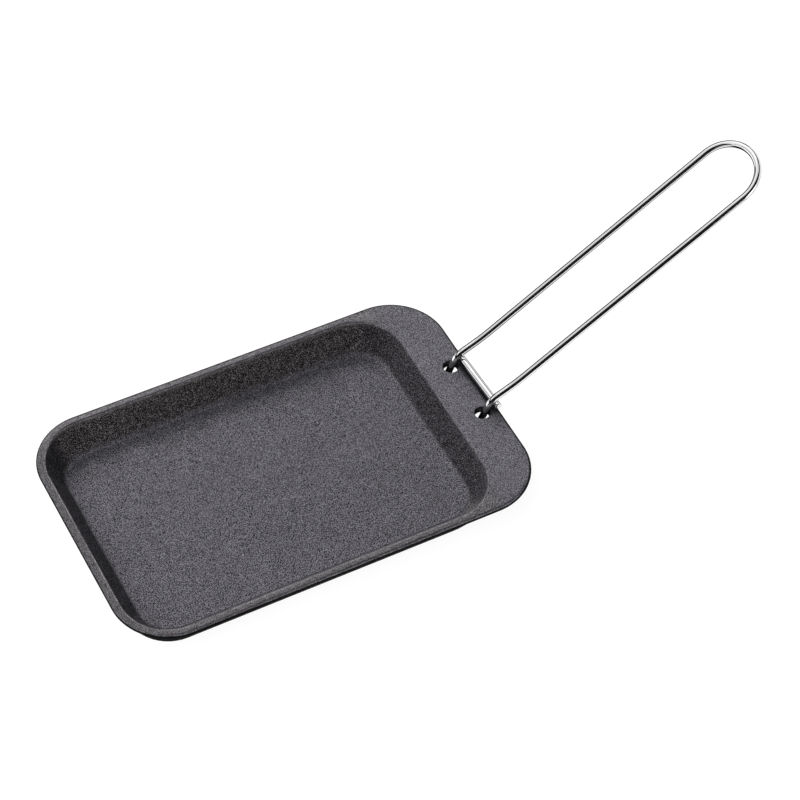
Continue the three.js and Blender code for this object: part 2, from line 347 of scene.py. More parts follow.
def ripple(points, wavelength, seed):
    """An even, seamless unevenness: twice the mean of sine waves in seeded random directions and phases."""
    draw = np.random.default_rng(seed)
    directions = draw.normal(size=(RIPPLE_WAVES, 3))
    directions /= np.linalg.norm(directions, axis=1, keepdims=True)
    rates = 2.0 * np.pi / (wavelength * draw.uniform(*RIPPLE_SPREAD, RIPPLE_WAVES))
    phases = draw.uniform(0.0, 2.0 * np.pi, RIPPLE_WAVES)
    return np.sin(points @ (directions * rates[:, None]).T + phases).mean(axis=-1) * 2.0


# Mesh helpers

def ring_quads(rings, around):
    """Quads between neighbouring rings of a grid whose rows close on themselves."""
    row = np.arange(rings - 1)[:, None] * around
    here = np.arange(around)[None, :]
    following = (here + 1) % around
    corners = [row + here, row + following, row + following + around, row + here + around]
    return np.stack([np.broadcast_to(c, (rings - 1, around)) for c in corners], axis=-1).reshape(-1, 4)


def pole_triangles(pole, first, around, outward):
    """A fan that closes a ring on one point; outward keeps the ring's own turn."""
    here = first + np.arange(around)
    following = first + (np.arange(around) + 1) % around
    pair = (here, following) if outward else (following, here)
    return np.stack([np.full(around, pole), *pair], axis=-1)


def closed_skin(rings):
    """Points and faces of a closed skin: a stack of closed rings with a pole at either end.
    Each pole is the mean of its end ring. The rings turn so that the quads face outwards."""
    count, around, _ = rings.shape
    points = np.concatenate([rings.reshape(-1, 3), rings[:1].mean(axis=1), rings[-1:].mean(axis=1)])
    start_pole = count * around
    quads = ring_quads(count, around)
    start = pole_triangles(start_pole, 0, around, False)
    end = pole_triangles(start_pole + 1, (count - 1) * around, around, True)
    return points, quads.tolist() + start.tolist() + end.tolist()


def mesh_object(name, points, faces):
    """A smooth-shaded mesh object at the origin, its place in its points."""
    mesh = bpy.data.meshes.new(name)
    mesh.from_pydata(points.tolist(), [], faces)
    mesh.polygons.foreach_set("use_smooth", np.ones(len(mesh.polygons), bool))
    mesh.update()
    made = bpy.data.objects.new(name, mesh)
    bpy.context.scene.collection.objects.link(made)
    return made


def mesh_points(mesh):
    values = np.empty(len(mesh.vertices) * 3)
    mesh.vertices.foreach_get("co", values)
    return values.reshape(-1, 3)


def point_attribute(mesh, name, values):
    layer = mesh.attributes.new(name, "FLOAT", "POINT")
    layer.data.foreach_set("value", values.astype(np.float32))


# Casting

def casting_stations():
    """The casting's section as stations, from the middle of the base out, up the side, over the rim
    and down to the middle of the cooking floor. Each station is a ring drawn in from the outline by an
    inset, ending at x = right on the flange's side, at a level, and shrunk about the middle by a scale."""
    nose_top = 90.0 - CROWN_TURN
    crown_drop = CROWN_RADIUS * (1.0 - cos(CROWN_TURN))
    nose_centre = RIM_HEIGHT - crown_drop - NOSE_RADIUS * sin(nose_top)
    wall_top = nose_centre - NOSE_RADIUS * sin(OUTER_WALL_LEAN)
    wall_top_inset = NOSE_RADIUS * (1.0 - cos(OUTER_WALL_LEAN))

    def outer_inset(level):
        return wall_top_inset + (wall_top - level) * tan(OUTER_WALL_LEAN)

    stations = []

    def add(inset, right, level, scale=1.0):
        stations.append(np.stack(np.broadcast_arrays(inset, right, level, scale), axis=-1))

    def between(count):
        return np.linspace(0.0, 1.0, count + 2)[1:-1]

    # Base disc and the rounding up to the side
    tangent = BASE_FILLET * (1.0 - sin(OUTER_WALL_LEAN))
    base_centre = outer_inset(tangent) + BASE_FILLET * cos(OUTER_WALL_LEAN)
    add(base_centre, BODY_END - base_centre, 0.0, np.linspace(POLE_SCALE, 1.0, BASE_RINGS + 1)[:-1])
    angle = np.linspace(90.0, OUTER_WALL_LEAN, ARC_RINGS)
    inset = base_centre - BASE_FILLET * cos(angle)
    add(inset, BODY_END - inset, BASE_FILLET * (1.0 - sin(angle)))

    # Side, then the hollow fillet out under the flange
    underside = RIM_HEIGHT - FLANGE_ROOT_THICKNESS
    fillet_level = underside - FLANGE_ROOT_FILLET
    fillet_start = fillet_level + FLANGE_ROOT_FILLET * sin(OUTER_WALL_LEAN)
    level = tangent + (fillet_start - tangent) * between(SIDE_RINGS)
    add(outer_inset(level), BODY_END - outer_inset(level), level)
    fillet_right = BODY_END - outer_inset(fillet_start) + FLANGE_ROOT_FILLET * cos(OUTER_WALL_LEAN)
    angle = np.linspace(180.0 - OUTER_WALL_LEAN, 90.0, ARC_RINGS)
    level = fillet_level + FLANGE_ROOT_FILLET * sin(angle)
    add(outer_inset(level), fillet_right + FLANGE_ROOT_FILLET * cos(angle), level)

    # Flange's underside and the edge up to the nose
    edge_level = RIM_HEIGHT - FLANGE_EDGE_THICKNESS
    edge_right = FLANGE_END - outer_inset(edge_level)
    share = np.append(between(FLANGE_RINGS), 1.0)
    level = underside + (edge_level - underside) * share
    add(outer_inset(level), fillet_right + (edge_right - fillet_right) * share, level)
    level = edge_level + (wall_top - edge_level) * between(FLANGE_RINGS)
    add(outer_inset(level), FLANGE_END - outer_inset(level), level)

    # Nose, crown and the flat top out to the flange
    angle = np.linspace(-OUTER_WALL_LEAN, nose_top, NOSE_RINGS)
    inset = NOSE_RADIUS * (1.0 - cos(angle))
    add(inset, FLANGE_END - inset, nose_centre + NOSE_RADIUS * sin(angle))
    angle = np.linspace(CROWN_TURN, 0.0, ARC_RINGS)[1:]
    inset = NOSE_RADIUS * (1.0 - cos(nose_top)) + CROWN_RADIUS * (sin(CROWN_TURN) - sin(angle))
    add(inset, FLANGE_END - inset, RIM_HEIGHT - CROWN_RADIUS * (1.0 - cos(angle)))
    turn = 90.0 - INNER_WALL_LEAN
    crown_end = inset[-1]
    rim_centre = RIM_WIDTH - RIM_INNER_RADIUS * tan(turn / 2.0)
    share = between(TOP_RINGS)
    add(crown_end + (rim_centre - crown_end) * share,
        (FLANGE_END - crown_end) + (BODY_END - rim_centre - FLANGE_END + crown_end) * share, RIM_HEIGHT)

    # Rim's inner rounding, the leaning wall, the fillet and the cooking floor
    angle = np.linspace(0.0, turn, ARC_RINGS)
    inset = rim_centre + RIM_INNER_RADIUS * sin(angle)
    level = RIM_HEIGHT - RIM_INNER_RADIUS * (1.0 - cos(angle))
    add(inset, BODY_END - inset, level)
    floor_centre = RIM_WIDTH + BASIN_DEPTH * tan(INNER_WALL_LEAN) + FLOOR_FILLET * tan(turn / 2.0)
    angle = np.linspace(turn, 0.0, FLOOR_FILLET_RINGS)
    fillet_inset = floor_centre - FLOOR_FILLET * sin(angle)
    fillet_level = FLOOR_LEVEL + FLOOR_FILLET * (1.0 - cos(angle))
    share = between(WALL_RINGS)
    wall_inset = inset[-1] + (fillet_inset[0] - inset[-1]) * share
    add(wall_inset, BODY_END - wall_inset, level[-1] + (fillet_level[0] - level[-1]) * share)
    add(fillet_inset, BODY_END - fillet_inset, fillet_level)
    floor_scale = np.linspace(1.0, POLE_SCALE, FLOOR_RINGS + 1)[1:]
    add(floor_centre, BODY_END - floor_centre, FLOOR_LEVEL, floor_scale)
    return np.concatenate(stations).T


def casting_rings():
    """One closed ring per station: a rounded rectangle, four quarter circles joined by straight runs.
    Straight points are the weighted mean of the two corner points that their run joins."""
    inset, right, level, scale = casting_stations()
    radius = CORNER_RADIUS - inset
    left = inset - BODY_END
    side = HALF_WIDTH - inset
    angle = np.linspace(0.0, 90.0, CORNER_STEPS + 1)
    corners = []
    for x, y, start in [(right, side, 0), (left, side, 90), (left, -side, 180), (right, -side, 270)]:
        across = (x - np.sign(x) * radius)[:, None] + radius[:, None] * cos(start + angle)
        back = (y - np.sign(y) * radius)[:, None] + radius[:, None] * sin(start + angle)
        corners.append(np.stack([across, back], axis=-1))
    runs = []
    for k, steps in enumerate([SIDE_STEPS, END_STEPS, SIDE_STEPS, END_STEPS]):
        share = (np.arange(1, steps) / steps)[None, :, None]
        first = corners[k][:, -1:]
        last = corners[(k + 1) % 4][:, :1]
        runs += [corners[k], first + (last - first) * share]
    plan = np.concatenate(runs, axis=1) * scale[:, None, None]
    height = np.broadcast_to(level[:, None, None], (*plan.shape[:2], 1))
    return np.concatenate([plan, height], axis=-1), inset


def ring_normals(rings):
    """Outward unit normals: the cross product of the steps around and between the rings."""
    around = np.roll(rings, -1, axis=1) - np.roll(rings, 1, axis=1)
    between = np.gradient(rings, axis=0)
    normals = np.cross(around, between)
    return normals / np.maximum(np.linalg.norm(normals, axis=-1, keepdims=True), SHORTEST_NORMAL)


def fettled_drop(rings, inset):
    """How far the filed rim lies under the plain one. On the near side, right of FETTLED_END, the top
    steps down at LEDGE_INSET to a narrow ledge; left of it the edge is filed round; the left rim has a
    fainter step. The file's hand wanders with a slow ripple, and the drop dies out down the side."""
    x, y, z = np.moveaxis(rings, -1, 0)
    wander = ripple(rings, FILE_WAVELENGTH, FILE_SEED)
    place = inset[:, None] + FILE_WANDER * wander
    top = towards(RIM_HEIGHT, FILED_DEPTHS, z)
    near = towards(HALF_WIDTH, FILED_REACH, -y)
    left = towards(BODY_END, FILED_REACH, -x)
    stepped = smooth_step(FETTLED_END - FETTLED_BLEND, FETTLED_END + FETTLED_BLEND, x)
    step = 1.0 - smooth_step(LEDGE_INSET - LEDGE_RUN, LEDGE_INSET + LEDGE_RUN, place)
    filed = np.clip(1.0 - place / (LEDGE_INSET + LEDGE_RUN), 0.0, 1.0) ** 2
    near_drop = stepped * LEDGE_DROP * step * (1.0 + LEDGE_UNEVENNESS * wander)
    near_drop += (1.0 - stepped) * FILED_DROP * filed
    return top * np.maximum(near * near_drop, left * LEFT_LEDGE * LEDGE_DROP * step)


def drill_rings():
    """One hole's drill: a revolved section whose radius swells to a rounded lip at the flange's two faces."""
    top = RIM_HEIGHT
    bottom = RIM_HEIGHT - FLANGE_ROOT_THICKNESS
    angle = np.linspace(0.0, HOLE_LIP_TURN, HOLE_LIP_RINGS)
    swell = HOLE_LIP * (1.0 - cos(angle))
    climb = HOLE_LIP * sin(angle)
    mouth = HOLE_RADIUS + 2 * HOLE_LIP
    radius = np.concatenate([[mouth], HOLE_RADIUS + swell[::-1], HOLE_RADIUS + swell, [mouth]])
    level = np.concatenate([[bottom - DRILL_OVERSHOOT], bottom + climb[-1] - climb[::-1],
                            top - climb[-1] + climb, [top + DRILL_OVERSHOOT]])
    turn = np.linspace(0.0, 360.0, HOLE_SIDES + 1)[:-1]
    plan = radius[:, None, None] * np.stack([cos(turn), sin(turn)], axis=-1)
    height = np.broadcast_to(level[:, None, None], (*plan.shape[:2], 1))
    return np.concatenate([plan, height], axis=-1)


def drill_holes(casting):
    """Cuts the two holes out of the casting's mesh, for good."""
    cutters = []
    for side in (-1, 1):
        place = PIVOT * [1, 1, 0] + [0.0, side * HOLE_SPACING / 2, 0.0]
        cutters.append(mesh_object("drill", *closed_skin(drill_rings() + place)))
        cut = casting.modifiers.new("hole", "BOOLEAN")
        cut.operation = "DIFFERENCE"
        cut.solver = "EXACT"
        cut.object = cutters[-1]
    graph = bpy.context.evaluated_depsgraph_get()
    plain = casting.data
    casting.data = bpy.data.meshes.new_from_object(casting.evaluated_get(graph))
    casting.modifiers.clear()
    bpy.data.meshes.remove(plain)
    for cutter in cutters:
        bpy.data.meshes.remove(cutter.data)
    casting.data.name = casting.name


def outline_inset(points, half_length, middle):
    """Distance inside a rounded rectangle of the pan's width, as long as twice half_length."""
    gap = np.abs(points[:, :2] - [middle, 0.0]) - [half_length - CORNER_RADIUS, HALF_WIDTH - CORNER_RADIUS]
    outside = np.linalg.norm(np.maximum(gap, 0.0), axis=1)
    return CORNER_RADIUS - outside - np.minimum(gap.max(axis=1), 0.0)


def rim_course(points):
    """Distance along the rim, in metres, from the turn about the pan's middle."""
    rings, inset = casting_rings()
    ring = rings[np.argmin(np.abs(inset - RIM_WIDTH / 2))]
    turn = np.arctan2(ring[:, 1] / HALF_WIDTH, ring[:, 0] / BODY_END)
    step = np.linalg.norm(np.roll(ring, -1, axis=0) - ring, axis=1)
    order = np.argsort(turn)
    course = np.cumsum(step[order])
    return np.interp(np.arctan2(points[:, 1] / HALF_WIDTH, points[:, 0] / BODY_END), turn[order], course)


def skin_and_painted_shade(points, outer, body):
    """The dark outer skin and its painted shade, as a share: the outside and the underside, dark skin that
    also stands in for their shade; the holes' walls, painted shade; and a narrow dark margin of the top, skin
    and painted shade at the edge, half as wide along the near and left edges."""
    x, y, level = points.T
    wide_margin = smooth_step(*WIDE_MARGIN_FROM_NEAR, HALF_WIDTH + y) * smooth_step(*WIDE_MARGIN_FROM_LEFT, BODY_END + x)
    margin = SKIN_AND_SHADE_MARGIN * (1.0 + wide_margin)
    skin = 1.0 - smooth_step(SKIN_AND_SHADE_FULL * margin, margin, outer)
    skin *= level > RIM_HEIGHT - MARGIN_DEPTH
    inside_level = RIM_HEIGHT - np.maximum(body - RIM_WIDTH, 0.0) / tan(INNER_WALL_LEAN)
    depth = np.maximum(inside_level, FLOOR_LEVEL) - level
    skin = np.maximum(skin, SIDE_SKIN_AND_SHADE * smooth_step(*SIDE_SKIN_AND_SHADE_DEPTHS, depth))
    from_hole = np.hypot(x - PIVOT[0], np.abs(y - PIVOT[1]) - HOLE_SPACING / 2) - HOLE_RADIUS
    return np.maximum(skin, 1.0 - smooth_step(*HOLE_PAINTED_SHADE, from_hole))


def painted_bar_shadow(points):
    """Painted shadow on the flange under the bar and under the two legs, as a share in the handle's frame."""
    along = (points - PIVOT) @ ALONG
    from_leg = np.abs((points - PIVOT) @ ACROSS) - HOLE_SPACING / 2
    under_bar = smooth_step(*BAR_SHADOW_START, along) * (1.0 - smooth_step(*BAR_SHADOW_END, from_leg))
    under_leg = smooth_step(*LEG_SHADOW_START, along) * (1.0 - smooth_step(*LEG_SHADOW_SIDE, np.abs(from_leg)))
    return np.maximum(under_bar, under_leg)


def casting_finish_and_painted_light(mesh):
    """Where the casting's finish and its painted light change, as shares from 0 to 1 that its points carry:
    the basin's wall, the ground top, the filed rim, the lines of wear and painted highlight, the painted
    shade, the dark outer skin with its painted shade, and the painted shadow under the handle.
    All come from the place, from the distance inside the whole outline and from that inside the body's.
    The rim's course and inset go with them, for the file's streaks."""
    points = mesh_points(mesh)
    x, y, level = points.T
    outer = outline_inset(points, (FLANGE_END + BODY_END) / 2, (FLANGE_END - BODY_END) / 2)
    body = outline_inset(points, BODY_END, 0.0)
    top = towards(RIM_HEIGHT, TOP_BAND, level)
    near = towards(HALF_WIDTH, RIM_BAND, -y)
    far = towards(HALF_WIDTH, RIM_BAND, y)
    left = towards(BODY_END, RIM_BAND, -x)
    rim = top * (1.0 - towards(BODY_END, FLANGE_BAND, x)) * (body < RIM_WIDTH + RIM_SPILL)

    wall_start = RIM_WIDTH - WALL_OVERLAP - FAR_WALL_OVERLAP * far
    wall = smooth_step(wall_start, wall_start + WALL_BLEND, body)
    wall *= smooth_step(FLOOR_LEVEL + WALL_FOOT[0], FLOOR_LEVEL + WALL_FOOT[1], level)
    end_wall = wall * towards(BODY_END, END_WALL_BAND, np.abs(x))
    on_floor = level < FLOOR_LEVEL + FLOOR_FINISH_HEIGHT

    # Wear with a painted highlight on the inner edges; painted highlights on the far foot and the near ledge
    edge_wear_and_highlight = bell(body, *EDGE_WEAR_AND_HIGHLIGHT_LINE) * np.maximum(left, NEAR_EDGE_WEAR_AND_HIGHLIGHT * near) * top
    foot_highlight = bell(body, *FOOT_HIGHLIGHT_LINE) * on_floor * towards(HALF_WIDTH, FOOT_BAND, y)
    ledge_highlight = bell(outer, *LEDGE_HIGHLIGHT_LINE) * near * top * smooth_step(*LEDGE_HIGHLIGHT_START, x)
    wear_and_highlight = EDGE_WEAR_AND_HIGHLIGHT * edge_wear_and_highlight + FOOT_HIGHLIGHT_STRENGTH * foot_highlight + LEDGE_HIGHLIGHT_STRENGTH * ledge_highlight

    # Painted shade: the far rim's inner edge, the near rim's step, the near wall's foot, the left rim and the
    # end walls
    near_foot = smooth_step(*NEAR_FOOT_START, body) * (1.0 - smooth_step(*NEAR_FOOT_END, body))
    near_foot *= on_floor * towards(HALF_WIDTH, FOOT_BAND, -y)
    dark = bell(body, *DARK_LINE) * far * top
    dark += STEP_DARK * bell(outer, *DARK_STEP) * near * top
    dark += NEAR_FOOT_DARK * near_foot
    dark += LEFT_RIM_DARK * left * rim * (1.0 - edge_wear_and_highlight)
    dark += np.where(x < 0.0, LEFT_END_DARK, RIGHT_END_DARK) * end_wall

    point_attribute(mesh, "basin_wall", wall)
    point_attribute(mesh, "ground_top", top * np.maximum(FLANGE_GROUND * (1.0 - rim), rim * far))
    point_attribute(mesh, "filed_rim", rim)
    point_attribute(mesh, "wear_and_painted_highlight", np.clip(wear_and_highlight, 0.0, 1.0))
    point_attribute(mesh, "painted_shade", np.clip(dark, 0.0, 1.0))
    point_attribute(mesh, "skin_and_painted_shade", np.clip(skin_and_painted_shade(points, outer, body), 0.0, 1.0))
    point_attribute(mesh, "painted_bar_shadow", painted_bar_shadow(points) * top)
    point_attribute(mesh, "rim_course", rim_course(points))
    point_attribute(mesh, "rim_inset", body)


def make_pan():
    rings, inset = casting_rings()
    normals = ring_normals(rings)
    rings[..., 2] -= fettled_drop(rings, inset)
    share = smooth_step(*RIPPLE_INSETS, inset)[:, None] * smooth_step(*RIPPLE_LEVELS, rings[..., 2])
    rings += normals * (CAST_RIPPLE * share * ripple(rings, CAST_WAVELENGTH, CAST_SEED))[..., None]
    casting = mesh_object("cast_pan", *closed_skin(rings))
    drill_holes(casting)
    casting.data.set_sharp_from_angle(angle=np.radians(SHARP_ANGLE))
    casting_finish_and_painted_light(casting.data)
    return casting


# Handle

def rounded_path(corners, radii):
    """A path through corner points, each inner corner an arc of its radius, tangent to both runs."""
    parts = [corners[:1]]
    for before, corner, after, radius in zip(corners, corners[1:], corners[2:], radii):
        into = (corner - before) / np.linalg.norm(corner - before)
        out = (after - corner) / np.linalg.norm(after - corner)
        turn = np.degrees(np.arccos(np.clip(into @ out, -1.0, 1.0)))
        start = corner - into * radius * tan(turn / 2.0)
        inward = out - into * (out @ into)
        inward /= np.linalg.norm(inward)
        angle = np.linspace(0.0, turn, max(3, int(np.ceil(turn / BEND_STEP))))[:, None]
        parts.append(start + radius * (into * sin(angle) + inward * (1.0 - cos(angle))))
    parts.append(corners[-1:])
    path = np.concatenate(parts)
    gap = np.linalg.norm(np.diff(path, axis=0), axis=1)
    return path[np.append(True, gap > SHORTEST_STEP)]


def round_wire(path, flat_normal):
    """Round wire along a path, its two ends rounded over. At each point the ring lies square to the
    path, its first direction the cross product of the wire's own plane's normal with the path."""
    ease = np.linspace(0.0, 90.0, END_RINGS + 1)[:-1]
    run = (path[1] - path[0]) / np.linalg.norm(path[1] - path[0])
    rise = (path[-1] - path[-2]) / np.linalg.norm(path[-1] - path[-2])
    inner = path[1:-1]
    start = path[0] + run * (END_ROUNDING * (1.0 - cos(ease)))[:, None]
    end = path[-1] - rise * (END_ROUNDING * (1.0 - cos(ease[::-1])))[:, None]
    shrink = WIRE_RADIUS - END_ROUNDING * (1.0 - sin(ease))
    middle = [path[0] + run * END_ROUNDING, path[-1] - rise * END_ROUNDING]
    points = np.concatenate([start, middle[:1], inner, middle[1:], end])
    radius = np.concatenate([shrink, np.full(len(inner) + 2, WIRE_RADIUS), shrink[::-1]])
    tangent = np.gradient(points, axis=0)
    tangent /= np.linalg.norm(tangent, axis=1, keepdims=True)
    side = np.cross(flat_normal, tangent)
    side /= np.linalg.norm(side, axis=1, keepdims=True)
    rise_way = np.cross(tangent, side)
    turn = np.linspace(0.0, 360.0, WIRE_SIDES + 1)[:-1]
    spokes = side[:, None] * cos(turn)[None, :, None] + rise_way[:, None] * sin(turn)[None, :, None]
    return points[:, None] + radius[:, None, None] * spokes


def handle_levels():
    """The handle's corners in its own frame, each along and up, as the solid has them: the hook's end,
    the heel, the bend, the set, the tip, and last the bar's middle."""
    flange_top = FLANGE_ROOT_THICKNESS / 2
    bar_level = flange_top + BAR_LIFT + WIRE_RADIUS
    bar_drop = 2 * WIRE_RADIUS + WELD_GAP
    bend_level = bar_level + bar_drop * cos(ROOT_SLOPE) - BAR_ALONG * sin(ROOT_SLOPE)
    bend = np.array([bend_level * tan(NECK_LEAN), bend_level])
    bar = np.array([bend[0] + BAR_ALONG * cos(ROOT_SLOPE) + bar_drop * sin(ROOT_SLOPE), bar_level])
    set_point = bend + ROOT_LENGTH * np.array([cos(ROOT_SLOPE), sin(ROOT_SLOPE)])
    tip = set_point + (LEG_LENGTH + LOOP_SPACING / 2) * np.array([cos(LEG_SLOPE), sin(LEG_SLOPE)])
    hook_level = -flange_top - SEAT_GAP - WIRE_RADIUS
    heel = np.array([hook_level * tan(NECK_LEAN), hook_level])
    return heel - [HOOK_LENGTH, 0.0], heel, bend, set_point, tip, bar


def handle_point(place, across):
    """A point of the handle's frame, given along and up, and across, in the pan's frame."""
    return PIVOT + ALONG * place[0] + UP * place[1] + ACROSS * across


def make_handle_wire():
    *root, tip, _ = handle_levels()
    reach = LEG_LENGTH + LOOP_SPACING / 2
    spread = np.degrees(np.arctan2((LOOP_SPACING - HOLE_SPACING) / 2, reach))
    loop_radius = LOOP_SPACING / 2 / tan((90.0 + spread) / 2.0)
    legs = []
    for side in (-1, 1):
        leg = [handle_point(place, side * HOLE_SPACING / 2) for place in root]
        legs.append([*leg, handle_point(tip, side * LOOP_SPACING / 2)])
    corners = np.array([*legs[0], *reversed(legs[1])])
    radii = [HEEL_RADIUS, BEND_RADIUS, SET_RADIUS, loop_radius]
    path = rounded_path(corners, radii + radii[::-1])
    plane_normal = UP * cos(LEG_SLOPE) - ALONG * sin(LEG_SLOPE)
    made = mesh_object("bent_wire", *closed_skin(round_wire(path, plane_normal)))
    above_rim = mesh_points(made.data)[:, 2] - RIM_HEIGHT
    # painted shade low on the neck, in place of the shaded flange that it reflects
    point_attribute(made.data, "neck_painted_shade", 1.0 - smooth_step(*NECK_PAINTED_SHADE, above_rim))
    return made


def make_crossbar():
    bar = handle_levels()[-1]
    reach = HOLE_SPACING / 2 + BAR_OVERHANG
    path = np.array([handle_point(bar, reach * share) for share in np.linspace(-1.0, 1.0, BAR_RINGS)])
    return mesh_object("welded_bar", *closed_skin(round_wire(path, UP)))


# Finishes

def new_material(name):
    made = bpy.data.materials.new(name)
    made.use_nodes = True
    return made, made.node_tree.nodes, made.node_tree.links


def feed(tree, socket, value):
    """Links a socket to an input, or sets the input to a plain value."""
    if isinstance(value, bpy.types.NodeSocket):
        tree.links.new(value, socket)
    else:
        socket.default_value = value


def math_node(tree, operation, *values):
    """A Math node whose inputs are numbers or sockets; gives its output socket."""
    node = tree.nodes.new("ShaderNodeMath")
    node.operation = operation
    for socket, value in zip(node.inputs, values):
        feed(tree, socket, value)
    return node.outputs[0]


def mix_value(tree, share, first, second):
    """first where the share is 0 and second where it is 1."""
    node = tree.nodes.new("ShaderNodeMix")
    for socket, value in zip((node.inputs[0], node.inputs[2], node.inputs[3]), (share, first, second)):
        feed(tree, socket, value)
    return node.outputs[0]


def mix_colour(tree, share, first, second, blend="MIX"):
    node = tree.nodes.new("ShaderNodeMix")
    node.data_type = "RGBA"
    node.blend_type = blend
    for socket, value in zip((node.inputs[0], node.inputs[6], node.inputs[7]), (share, first, second)):
        feed(tree, socket, value)
    return node.outputs[2]


def noise_node(tree, place, scale, detail):
    node = tree.nodes.new("ShaderNodeTexNoise")
    node.inputs["Scale"].default_value = scale
    node.inputs["Detail"].default_value = detail
    tree.links.new(place, node.inputs["Vector"])
    return node.outputs["Fac"]


def spread_value(tree, value, low, high):
    """Stretches value so that low becomes 0 and high becomes 1, held between them."""
    node = tree.nodes.new("ShaderNodeMapRange")
    node.inputs["From Min"].default_value = low
    node.inputs["From Max"].default_value = high
    tree.links.new(value, node.inputs["Value"])
    return node.outputs["Result"]


def attribute_share(nodes, name):
    """The named share that a piece's points carry."""
    node = nodes.new("ShaderNodeAttribute")
    node.attribute_name = name
    return node.outputs["Fac"]


def sand_grain_group():
    """Sand-cast grain, close-set and about a third of a millimetre apart. Gives the plain grain and the
    basin wall's as shares from pit to tip, a mask of rare bright specks and a slow mottle."""
    group = bpy.data.node_groups.new("Sand grain", "ShaderNodeTree")
    face = group.interface
    face.new_socket("Place", in_out="INPUT", socket_type="NodeSocketVector")
    for name in ("Grain", "Wall grain", "Speck", "Mottle"):
        face.new_socket(name, in_out="OUTPUT", socket_type="NodeSocketFloat")
    entry = group.nodes.new("NodeGroupInput")
    leave = group.nodes.new("NodeGroupOutput")
    turned = group.nodes.new("ShaderNodeVectorRotate")
    turned.rotation_type = "EULER_XYZ"
    turned.inputs["Rotation"].default_value = GRAIN_TURN
    group.links.new(entry.outputs["Place"], turned.inputs["Vector"])
    place = turned.outputs["Vector"]
    grain = noise_node(group, place, GRAIN_RATE, GRAIN_DETAIL)
    group.links.new(spread_value(group, grain, *GRAIN_SPREAD), leave.inputs["Grain"])
    wall_grain = noise_node(group, place, WALL_GRAIN_RATE, GRAIN_DETAIL)
    group.links.new(spread_value(group, wall_grain, *WALL_GRAIN_SPREAD), leave.inputs["Wall grain"])
    speck = noise_node(group, place, SPECK_RATE, SPECK_DETAIL)
    group.links.new(spread_value(group, speck, *SPECK_SPREAD), leave.inputs["Speck"])
    group.links.new(noise_node(group, place, MOTTLE_RATE, MOTTLE_DETAIL), leave.inputs["Mottle"])
    return group


def file_streaks(tree):
    """The file's streaks as a share: noise drawn out along the rim's course."""
    nodes = tree.nodes
    course = nodes.new("ShaderNodeCombineXYZ")
    tree.links.new(attribute_share(nodes, "rim_course"), course.inputs["X"])
    tree.links.new(attribute_share(nodes, "rim_inset"), course.inputs["Y"])
    stretch = nodes.new("ShaderNodeVectorMath")
    stretch.operation = "MULTIPLY"
    stretch.inputs[1].default_value = STREAK_RATES
    tree.links.new(course.outputs["Vector"], stretch.inputs[0])
    streak = noise_node(tree, stretch.outputs["Vector"], 1.0, STREAK_DETAIL)
    return spread_value(tree, streak, *STREAK_SPREAD)


def cast_iron():
    """Dark grey seasoned iron: sand grain all over, calmer where the top is ground, drawn into streaks where
    the rim is filed, lighter in lines of wear and of painted highlight, darker in painted shade, and darkest
    on the outer skin with its painted shade and in the painted shadow under the handle."""
    made, nodes, links = new_material("cast_iron")
    tree = made.node_tree
    shader = nodes["Principled BSDF"]
    shader.inputs["Specular IOR Level"].default_value = IRON_SPECULAR
    grain = nodes.new("ShaderNodeGroup")
    grain.node_tree = sand_grain_group()
    links.new(nodes.new("ShaderNodeTexCoord").outputs["Object"], grain.inputs["Place"])
    on_wall = attribute_share(nodes, "basin_wall")
    ground = attribute_share(nodes, "ground_top")

    grit = mix_value(tree, on_wall, grain.outputs["Grain"], grain.outputs["Wall grain"])
    grit = mix_value(tree, math_node(tree, "MULTIPLY", ground, GROUND_CALM), grit, GROUND_GRAIN)
    filed = math_node(tree, "MULTIPLY", grain.outputs["Grain"], FILED_GRAIN)
    filed = math_node(tree, "MULTIPLY_ADD", file_streaks(tree), FILED_STREAK, filed)
    grit = mix_value(tree, attribute_share(nodes, "filed_rim"), grit, filed)

    tone = mix_colour(tree, grit, IRON_PIT, IRON_TIP)
    specks = math_node(tree, "MULTIPLY", grain.outputs["Speck"], SPECK_SHARE)
    tone = mix_colour(tree, specks, tone, IRON_SPECK)
    lift = math_node(tree, "MULTIPLY_ADD", grain.outputs["Mottle"], MOTTLE_LIFT, PLAIN_LIFT)
    lift = math_node(tree, "MULTIPLY_ADD", ground, GROUND_LIFT, lift)
    lift = math_node(tree, "MULTIPLY_ADD", attribute_share(nodes, "wear_and_painted_highlight"), WEAR_AND_HIGHLIGHT_LIFT, lift)
    tone = mix_colour(tree, 1.0, tone, lift, "MULTIPLY")
    for name, tint in FINISH_AND_SHADE_TINTS:
        tone = mix_colour(tree, attribute_share(nodes, name), tone, tint, "MULTIPLY")
    links.new(tone, shader.inputs["Base Color"])

    rough = math_node(tree, "MULTIPLY_ADD", grit, -TIP_POLISH, PIT_ROUGHNESS)
    # the dark skin with its painted shade, and the painted shadow under the handle, are rough
    for name in ("skin_and_painted_shade", "painted_bar_shadow"):
        rough = math_node(tree, "MAXIMUM", rough, attribute_share(nodes, name))
    links.new(rough, shader.inputs["Roughness"])

    bump = nodes.new("ShaderNodeBump")
    bump.inputs["Distance"].default_value = GRAIN_HEIGHT
    height = math_node(tree, "MULTIPLY_ADD", on_wall, WALL_GRAIN_EXTRA, 1.0)
    links.new(math_node(tree, "MULTIPLY", grit, height), bump.inputs["Height"])
    links.new(bump.outputs["Normal"], shader.inputs["Normal"])
    return made


